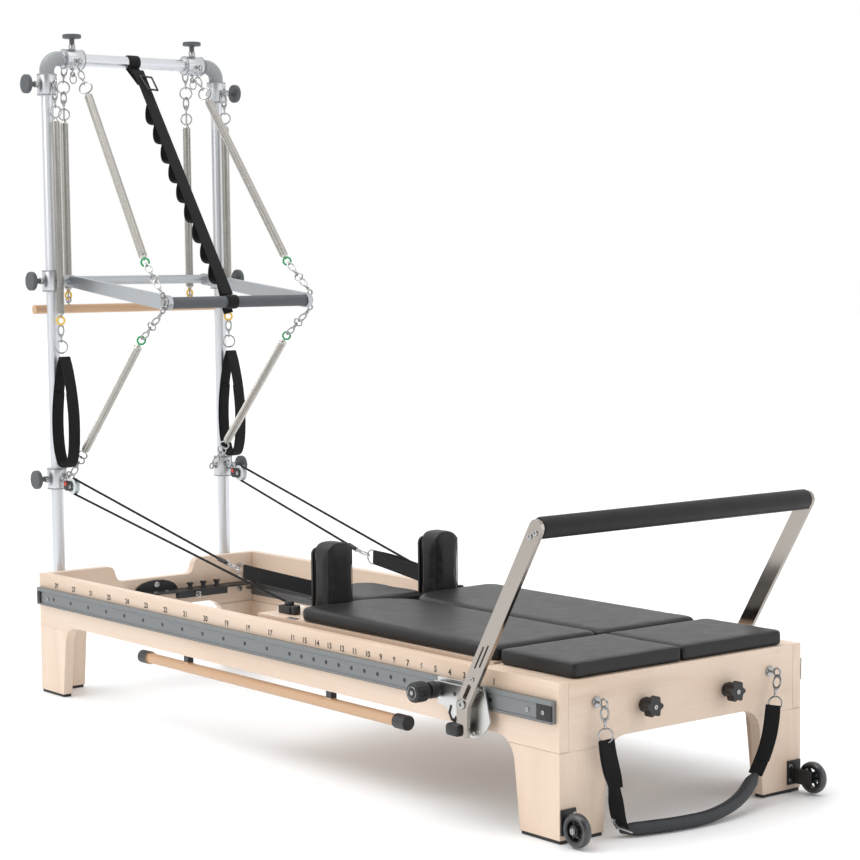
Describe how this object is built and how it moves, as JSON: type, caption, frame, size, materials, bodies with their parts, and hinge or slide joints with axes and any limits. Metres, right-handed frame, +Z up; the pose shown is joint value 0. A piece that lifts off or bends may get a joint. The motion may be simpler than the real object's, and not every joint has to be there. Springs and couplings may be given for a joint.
{
  "type": "pilates reformer with half-trapeze tower",
  "caption": "Wooden pilates reformer: sliding padded carriage with shoulder rests, adjustable footbar, and an aluminium tower with springs, push-through bar and pulleys",
  "frame": {"origin": "on the floor, under the centre of the whole object's bounding box, which is also the middle of the frame", "axes": "+X towards the foot end with the footbar and transport wheels, +Y towards the far side (left when facing the foot end from the tower), +Z up"},
  "size_m": [2.604, 1.016, 2.024],
  "materials": {
    "maple": "clear satin lacquer over pale maple",
    "beech": "sanded and oiled round wood",
    "rail_grey": "grey anodised extrusion",
    "pad_black": "black synthetic leather over foam",
    "plastic_black": "moulded black",
    "spring_steel": "nickel-plated spring wire",
    "wheel_grey": "smoke-grey polyurethane",
    "chrome": "polished",
    "alloy": "satin aluminium",
    "knob_grey": "moulded dark grey",
    "sleeve_grey": "matte foam-rubber sleeve",
    "webbing_black": "woven black webbing and cord"
  },
  "bodies": {
    "frame": {"side_panel_near": "maple", "side_panel_far": "maple", "foot_end_board": "maple", "head_end_board": "maple", "leg_foot_near": "maple", "leg_foot_far": "maple", "leg_head_near": "maple", "leg_head_far": "maple", "wood_pole": "beech", "outer_rail_near": "rail_grey", "outer_rail_far": "rail_grey", "inner_rail_near": "rail_grey", "inner_rail_far": "rail_grey", "platform_pad": "pad_black", "head_bracket": "plastic_black", "wheel_bracket_near": "plastic_black", "wheel_bracket_far": "plastic_black", "spring_bar": "spring_steel", "carriage_spring_set": "spring_steel", "push_bar_springs_near": "spring_steel", "push_bar_springs_far": "spring_steel", "arm_springs_near": "spring_steel", "arm_springs_far": "spring_steel", "tower_post_near": "alloy", "tower_post_far": "alloy", "tower_top_bar": "alloy", "foot_strap": "webbing_black", "safety_strap": "webbing_black", "rope_near": "webbing_black", "rope_far": "webbing_black"},
    "carriage": {"carriage_frame": "maple", "carriage_pad_near": "pad_black", "carriage_pad_far": "pad_black"},
    "headrest": {"headrest": "pad_black"},
    "shoulder_rest_near": {"shoulder_rest_near": "pad_black"},
    "shoulder_rest_far": {"shoulder_rest_far": "pad_black"},
    "footbar_carrier": {"selector_plate_near": "chrome", "selector_plate_far": "chrome"},
    "footbar": {"footbar_arm_near": "chrome", "footbar_arm_far": "chrome", "footbar_grip": "pad_black"},
    "lock_knob_near": {"lock_knob_near": "plastic_black"},
    "lock_knob_far": {"lock_knob_far": "plastic_black"},
    "transport_wheel_near": {"transport_wheel_near": "wheel_grey"},
    "transport_wheel_far": {"transport_wheel_far": "wheel_grey"},
    "push_bar": {"push_bar_frame": "alloy", "push_bar_grip": "sleeve_grey"},
    "roll_down_bar": {"roll_down_bar": "beech"},
    "pulley_sheave_near": {"pulley_sheave_near": "alloy"},
    "pulley_sheave_far": {"pulley_sheave_far": "alloy"},
    "star_knob_near": {"star_knob_near": "plastic_black"},
    "star_knob_far": {"star_knob_far": "plastic_black"},
    "collar_knob_low_near": {"collar_knob_low_near": "knob_grey"},
    "collar_knob_low_far": {"collar_knob_low_far": "knob_grey"},
    "collar_knob_mid_near": {"collar_knob_mid_near": "knob_grey"},
    "collar_knob_mid_far": {"collar_knob_mid_far": "knob_grey"},
    "collar_knob_high_near": {"collar_knob_high_near": "knob_grey"},
    "collar_knob_high_far": {"collar_knob_high_far": "knob_grey"},
    "collar_knob_top_near": {"collar_knob_top_near": "knob_grey"},
    "collar_knob_top_far": {"collar_knob_top_far": "knob_grey"}
  },
  "joints": [
    {"name": "carriage_slide", "type": "slide", "parent": "frame", "child": "carriage", "axis": [1, 0, 0], "range_m": [-0.95, 0], "stiffness_N_per_m": 60, "springref_m": 0.25, "deforming": ["rope_near", "rope_far"]},
    {"name": "headrest_hinge", "type": "hinge", "parent": "carriage", "child": "headrest", "pos_m": [0.085, 0, 0.388], "axis": [0, 1, 0], "range_deg": [0, 40]},
    {"name": "footbar_slide", "type": "slide", "parent": "frame", "child": "footbar_carrier", "axis": [1, 0, 0], "range_m": [-0.43, 0.15]},
    {"name": "footbar_hinge", "type": "hinge", "parent": "footbar_carrier", "child": "footbar", "pos_m": [0.916, 0, 0.286], "axis": [0, 1, 0], "range_deg": [-75, 40]},
    {"name": "push_bar_hinge", "type": "hinge", "parent": "frame", "child": "push_bar", "pos_m": [-1.238, 0, 1.268], "axis": [0, 1, 0], "range_deg": [-70, 70], "stiffness_Nm_per_rad": 120, "springref_deg": -4.05, "deforming": ["push_bar_springs_near", "push_bar_springs_far", "safety_strap"]},
    {"name": "roll_down_slide", "type": "slide", "parent": "frame", "child": "roll_down_bar", "axis": [0, 0, 1], "range_m": [-0.3, 0], "stiffness_N_per_m": 150, "springref_m": 0.25},
    {"name": "shoulder_rest_lift_near", "type": "slide", "parent": "carriage", "child": "shoulder_rest_near", "axis": [0, 0, 1], "range_m": [0, 0.055]},
    {"name": "lock_knob_pull_near", "type": "slide", "parent": "footbar_carrier", "child": "lock_knob_near", "axis": [0, -1, 0], "range_m": [0, 0.012], "stiffness_N_per_m": 600, "springref_m": -0.006},
    {"name": "transport_wheel_spin_near", "type": "hinge", "parent": "frame", "child": "transport_wheel_near", "pos_m": [1.25, -0.392, 0.042], "axis": [0, 1, 0], "continuous": true},
    {"name": "star_knob_turn_near", "type": "hinge", "parent": "frame", "child": "star_knob_near", "pos_m": [1.22, -0.137, 0.287], "axis": [1, 0, 0], "range_deg": [0, 330]},
    {"name": "pulley_sheave_spin_near", "type": "hinge", "parent": "frame", "child": "pulley_sheave_near", "pos_m": [-1.134, -0.308, 0.638], "axis": [0, 1, 0], "continuous": true},
    {"name": "collar_knob_top_turn_near", "type": "hinge", "parent": "frame", "child": "collar_knob_top_near", "pos_m": [-1.238, -0.218, 2.013], "axis": [0, 0, 1], "range_deg": [0, 330]},
    {"name": "collar_knob_low_turn_near", "type": "hinge", "parent": "frame", "child": "collar_knob_low_near", "pos_m": [-1.238, -0.36, 0.655], "axis": [0, -1, 0], "range_deg": [0, 330]},
    {"name": "collar_knob_mid_turn_near", "type": "hinge", "parent": "frame", "child": "collar_knob_mid_near", "pos_m": [-1.238, -0.36, 1.268], "axis": [0, -1, 0], "range_deg": [0, 330]},
    {"name": "collar_knob_high_turn_near", "type": "hinge", "parent": "frame", "child": "collar_knob_high_near", "pos_m": [-1.238, -0.36, 1.867], "axis": [0, -1, 0], "range_deg": [0, 330]},
    {"name": "shoulder_rest_lift_far", "type": "slide", "parent": "carriage", "child": "shoulder_rest_far", "axis": [0, 0, 1], "range_m": [0, 0.055]},
    {"name": "lock_knob_pull_far", "type": "slide", "parent": "footbar_carrier", "child": "lock_knob_far", "axis": [0, 1, 0], "range_m": [0, 0.012], "stiffness_N_per_m": 600, "springref_m": -0.006},
    {"name": "transport_wheel_spin_far", "type": "hinge", "parent": "frame", "child": "transport_wheel_far", "pos_m": [1.25, 0.392, 0.042], "axis": [0, 1, 0], "continuous": true},
    {"name": "star_knob_turn_far", "type": "hinge", "parent": "frame", "child": "star_knob_far", "pos_m": [1.22, 0.137, 0.287], "axis": [1, 0, 0], "range_deg": [0, 330]},
    {"name": "pulley_sheave_spin_far", "type": "hinge", "parent": "frame", "child": "pulley_sheave_far", "pos_m": [-1.134, 0.308, 0.638], "axis": [0, 1, 0], "continuous": true},
    {"name": "collar_knob_top_turn_far", "type": "hinge", "parent": "frame", "child": "collar_knob_top_far", "pos_m": [-1.238, 0.218, 2.013], "axis": [0, 0, 1], "range_deg": [0, 330]},
    {"name": "collar_knob_low_turn_far", "type": "hinge", "parent": "frame", "child": "collar_knob_low_far", "pos_m": [-1.238, 0.36, 0.655], "axis": [0, 1, 0], "range_deg": [0, 330]},
    {"name": "collar_knob_mid_turn_far", "type": "hinge", "parent": "frame", "child": "collar_knob_mid_far", "pos_m": [-1.238, 0.36, 1.268], "axis": [0, 1, 0], "range_deg": [0, 330]},
    {"name": "collar_knob_high_turn_far", "type": "hinge", "parent": "frame", "child": "collar_knob_high_far", "pos_m": [-1.238, 0.36, 1.867], "axis": [0, 1, 0], "range_deg": [0, 330]}
  ]
}
